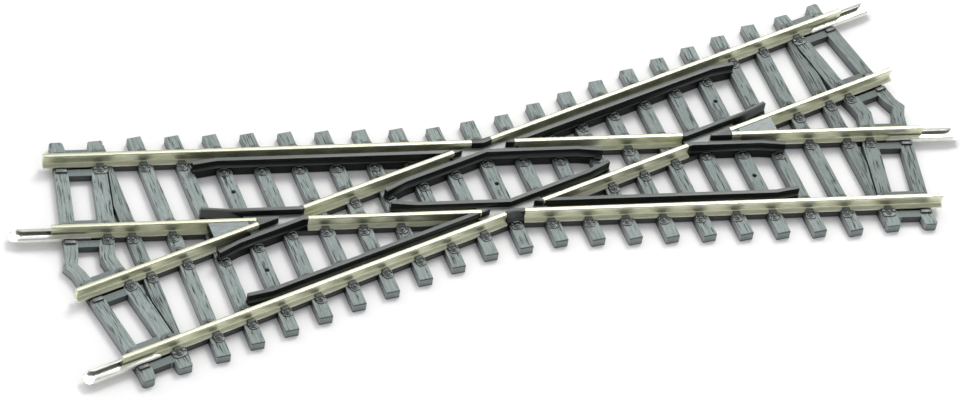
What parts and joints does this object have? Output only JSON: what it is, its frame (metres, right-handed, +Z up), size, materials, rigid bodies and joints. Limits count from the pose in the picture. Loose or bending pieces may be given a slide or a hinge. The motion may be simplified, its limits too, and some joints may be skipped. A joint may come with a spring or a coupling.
{
  "type": "model railway diamond crossing",
  "caption": "Fixed diamond crossing for model railway: two straight tracks crossing at a shallow angle on one sleeper base, with plastic crossings and check rails and sliding rail joiners.",
  "frame": {"origin": "centre of the diamond, on the plane the sleepers rest on", "axes": "+X along the bisector of the two tracks, the longest way; +Y across, away from the near side; +Z up, out of the rail tops"},
  "size_m": [0.1834, 0.0596, 0.0041],
  "materials": {
    "sleeper_plastic": "matt grey-green with moulded wood grain",
    "rail_metal": "bright drawn nickel silver",
    "black_plastic": "black, satin",
    "joiner_metal": "bright folded nickel silver sheet",
    "jumper_wire": "tinned copper wire"
  },
  "bodies": {
    "track_frame": {"check_rail_far_left": "black_plastic", "check_rail_far_right": "black_plastic", "check_rail_near_left": "black_plastic", "check_rail_near_right": "black_plastic", "jumper_wire_obtuse_far_a": "jumper_wire", "jumper_wire_obtuse_far_b": "jumper_wire", "jumper_wire_obtuse_near_a": "jumper_wire", "jumper_wire_obtuse_near_b": "jumper_wire", "jumper_wire_vee_left_a": "jumper_wire", "jumper_wire_vee_left_b": "jumper_wire", "jumper_wire_vee_right_a": "jumper_wire", "jumper_wire_vee_right_b": "jumper_wire", "middle_rail_far_left": "rail_metal", "middle_rail_far_right": "rail_metal", "middle_rail_near_left": "rail_metal", "middle_rail_near_right": "rail_metal", "obtuse_crossing_far": "black_plastic", "obtuse_crossing_near": "black_plastic", "outer_rail_far_left": "rail_metal", "outer_rail_far_right": "rail_metal", "outer_rail_near_left": "rail_metal", "outer_rail_near_right": "rail_metal", "sleeper_base": "sleeper_plastic", "vee_crossing_left": "black_plastic", "vee_crossing_right": "black_plastic", "vee_rail_left_far": "rail_metal", "vee_rail_left_near": "rail_metal", "vee_rail_right_far": "rail_metal", "vee_rail_right_near": "rail_metal"},
    "rail_joiner_left_inner": {"rail_joiner_left_inner": "joiner_metal"},
    "rail_joiner_left_outer": {"rail_joiner_left_outer": "joiner_metal"},
    "rail_joiner_right_inner": {"rail_joiner_right_inner": "joiner_metal"},
    "rail_joiner_right_outer": {"rail_joiner_right_outer": "joiner_metal"}
  },
  "joints": [
    {"name": "joiner_slide_left_inner", "type": "slide", "parent": "track_frame", "child": "rail_joiner_left_inner", "axis": [-0.9808, 0.1951, 0], "range_m": [-0.0015, 0.005]},
    {"name": "joiner_slide_left_outer", "type": "slide", "parent": "track_frame", "child": "rail_joiner_left_outer", "axis": [-0.9808, -0.1951, 0], "range_m": [-0.0015, 0.005]},
    {"name": "joiner_slide_right_inner", "type": "slide", "parent": "track_frame", "child": "rail_joiner_right_inner", "axis": [0.9808, -0.1951, 0], "range_m": [-0.0015, 0.005]},
    {"name": "joiner_slide_right_outer", "type": "slide", "parent": "track_frame", "child": "rail_joiner_right_outer", "axis": [0.9808, 0.1951, 0], "range_m": [-0.0015, 0.005]}
  ]
}
